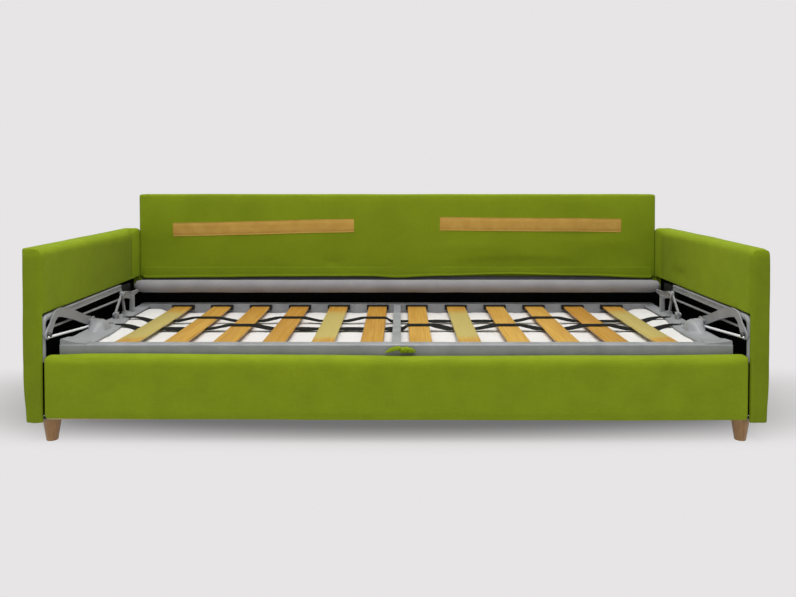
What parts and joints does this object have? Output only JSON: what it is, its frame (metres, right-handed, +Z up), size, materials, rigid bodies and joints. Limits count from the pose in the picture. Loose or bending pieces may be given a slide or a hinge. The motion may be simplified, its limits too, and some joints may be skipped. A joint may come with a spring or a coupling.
{
  "type": "swivel sofa bed",
  "caption": "Slim upholstered sofa with a slatted bed deck that swings forward over its front panel and turns mattress side up.",
  "frame": {"origin": "on the floor, under the middle of the sofa's overall width and depth", "axes": "+Z up, +X towards the right end as seen from the front, -Y towards the front"},
  "size_m": [2.2, 0.88, 0.713],
  "materials": {
    "upholstery": "matt woven green cloth",
    "grip_tape": "matt tan hook-and-loop tape",
    "frame_board": "raw board",
    "black_board": "matt black stained board",
    "foot_wood": "satin lacquered beech",
    "zinc_steel": "zinc plated",
    "grey_steel": "satin grey powder coat",
    "chrome_rod": "bright chrome",
    "black_plastic": "moulded black plastic",
    "slat_beech": "satin lacquered bent beech",
    "black_elastic": "black elastic webbing",
    "mattress_ticking": "white quilted ticking",
    "roll_fabric": "grey woven cloth over foam"
  },
  "bodies": {
    "base": {"arm_cover_left": "upholstery", "arm_cover_right": "upholstery", "arm_board_left": "black_board", "arm_board_right": "black_board", "front_panel_cover": "upholstery", "front_panel_board": "frame_board", "back_cover": "upholstery", "back_board": "frame_board", "back_posts": "frame_board", "back_top_rail": "frame_board", "back_hem": "upholstery", "grip_strip_left": "grip_tape", "grip_strip_right": "grip_tape", "base_rail_left": "black_board", "base_rail_right": "black_board", "rear_rail": "black_board", "floor_panel": "black_board", "cross_rails": "black_board", "feet": "foot_wood", "foot_plates": "zinc_steel", "side_frame_leg_left": "grey_steel", "side_frame_leg_right": "grey_steel", "side_frame_rail_left": "grey_steel", "side_frame_rail_right": "grey_steel", "side_frame_struts": "grey_steel", "rear_brackets": "black_plastic", "pivot_pins": "zinc_steel"},
    "swing_arms": {"swing_arm_left": "grey_steel", "swing_arm_right": "grey_steel", "tie_rod_left": "chrome_rod", "tie_rod_right": "chrome_rod"},
    "deck": {"deck_front_rail": "grey_steel", "deck_rear_rail": "grey_steel", "deck_end_rail_left": "grey_steel", "deck_end_rail_right": "grey_steel", "deck_centre_bar": "grey_steel", "slats_left": "slat_beech", "slats_right": "slat_beech", "slat_caps_front": "black_plastic", "slat_caps_rear": "black_plastic", "front_strap": "black_elastic", "rear_strap": "black_elastic", "strap_bolts": "zinc_steel", "hub_bracket_left": "grey_steel", "hub_bracket_right": "grey_steel", "hub_pins": "zinc_steel", "mattress": "mattress_ticking", "mattress_bands": "black_elastic", "pull_strap": "upholstery", "leg_lugs": "grey_steel", "leg_pins": "zinc_steel", "leg_rests": "grey_steel"},
    "leg_frame": {"leg_bracket_left": "grey_steel", "leg_bracket_right": "grey_steel", "leg_struts": "grey_steel", "leg_bolts": "zinc_steel", "leg_tube": "grey_steel", "foot_roll": "roll_fabric", "roll_ends": "roll_fabric"}
  },
  "joints": [
    {"name": "deck_swing", "type": "hinge", "parent": "base", "child": "swing_arms", "pos_m": [0, -0.418, 0.318], "axis": [1, 0, 0], "range_deg": [0, 186.8]},
    {"name": "hub_turn", "type": "hinge", "parent": "swing_arms", "child": "deck", "pos_m": [0, -0.152, 0.305], "axis": [1, 0, 0], "range_deg": [-6.8, 0]},
    {"name": "leg_fold", "type": "hinge", "parent": "deck", "child": "leg_frame", "pos_m": [0, 0.007, 0.294], "axis": [1, 0, 0], "range_deg": [0, 77.5]}
  ],
  "couplings": [
    {"joint": "hub_turn", "follows": "deck_swing", "ratio": -0.0364}
  ]
}
